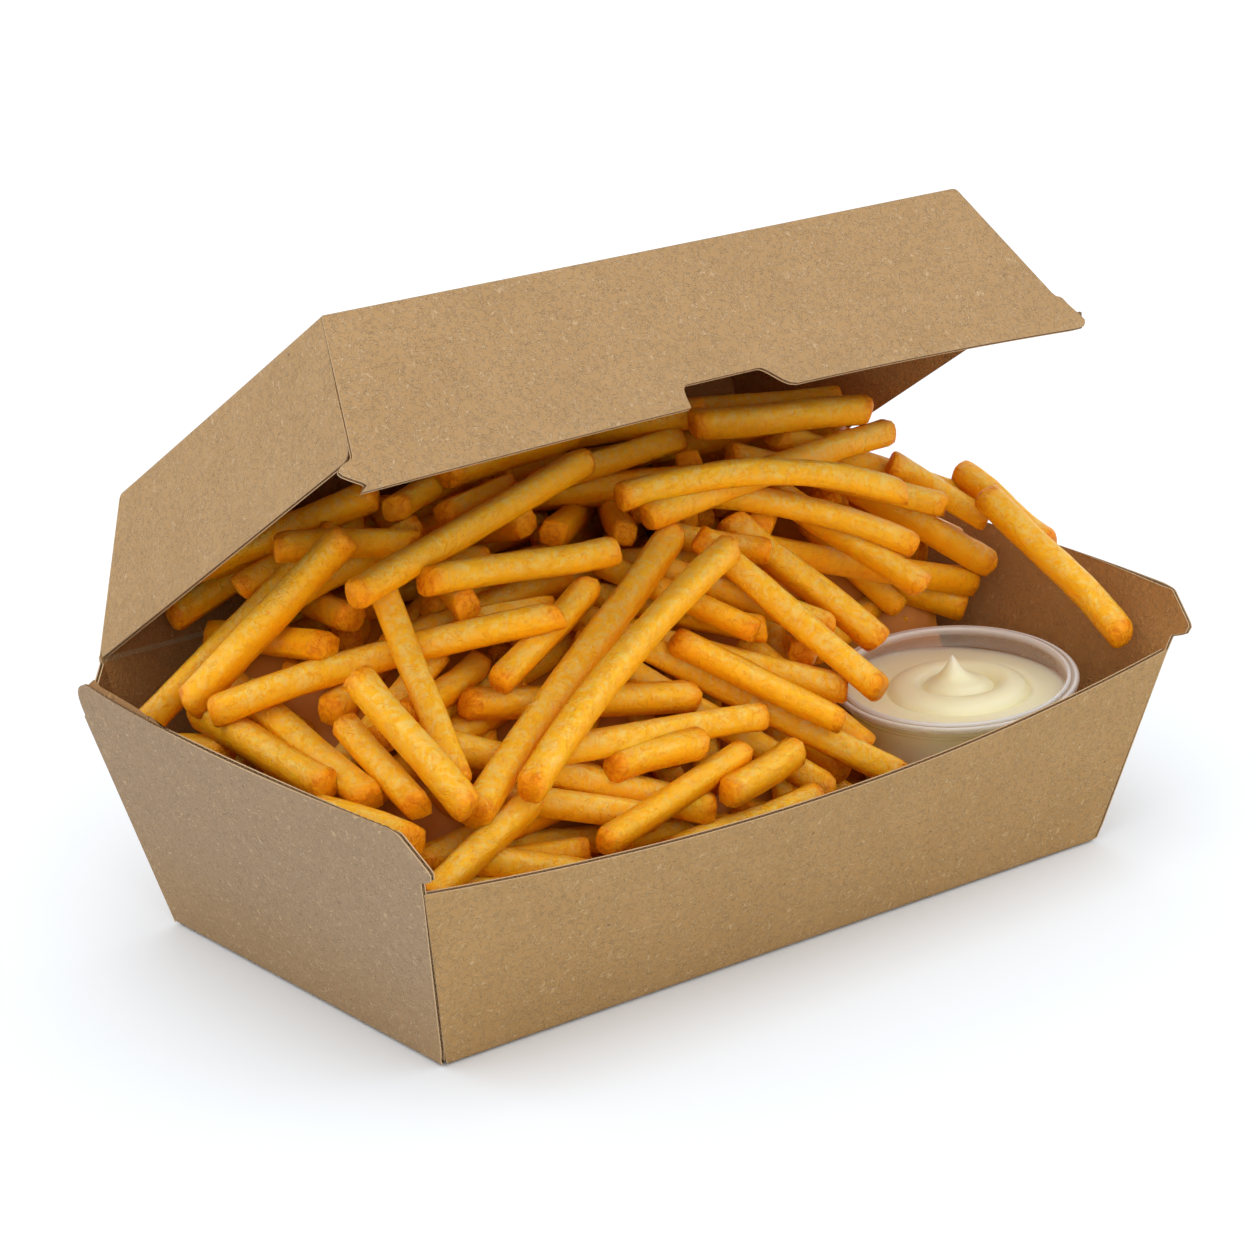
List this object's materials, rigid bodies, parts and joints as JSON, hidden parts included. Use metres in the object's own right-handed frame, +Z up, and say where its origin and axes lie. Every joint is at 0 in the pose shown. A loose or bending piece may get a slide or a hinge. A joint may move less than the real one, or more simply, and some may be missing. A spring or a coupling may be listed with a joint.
{
  "type": "corrugated snack box of shoestring fries with mayonnaise",
  "caption": "Kraft corrugated takeaway box with a hinged lid standing part open, heaped with shoestring fries, with a clear pot of mayonnaise set in among them.",
  "frame": {"origin": "middle of the tray's base, on the surface that the box stands on", "axes": "+X along the long side of the box, to the right seen from the front; +Y to the back, where the lid is hinged; +Z up"},
  "size_m": [0.2418, 0.1465, 0.1594],
  "materials": {
    "kraft_board": "matte brown kraft liner",
    "fried_potato": "golden fried potato, pale on the faces and browned at the edges and ends",
    "clear_plastic": "clear, glossy",
    "mayonnaise": "cream, soft sheen"
  },
  "bodies": {
    "tray": {"tray": "kraft_board", "fries_heap": "fried_potato", "dip_pot": "clear_plastic", "mayonnaise": "mayonnaise"},
    "lid": {"lid": "kraft_board"}
  },
  "joints": [
    {"name": "lid_hinge", "type": "hinge", "parent": "tray", "child": "lid", "pos_m": [0, 0.07331, 0.0623], "axis": [-1, 0, 0], "range_deg": [-15, 143]}
  ]
}
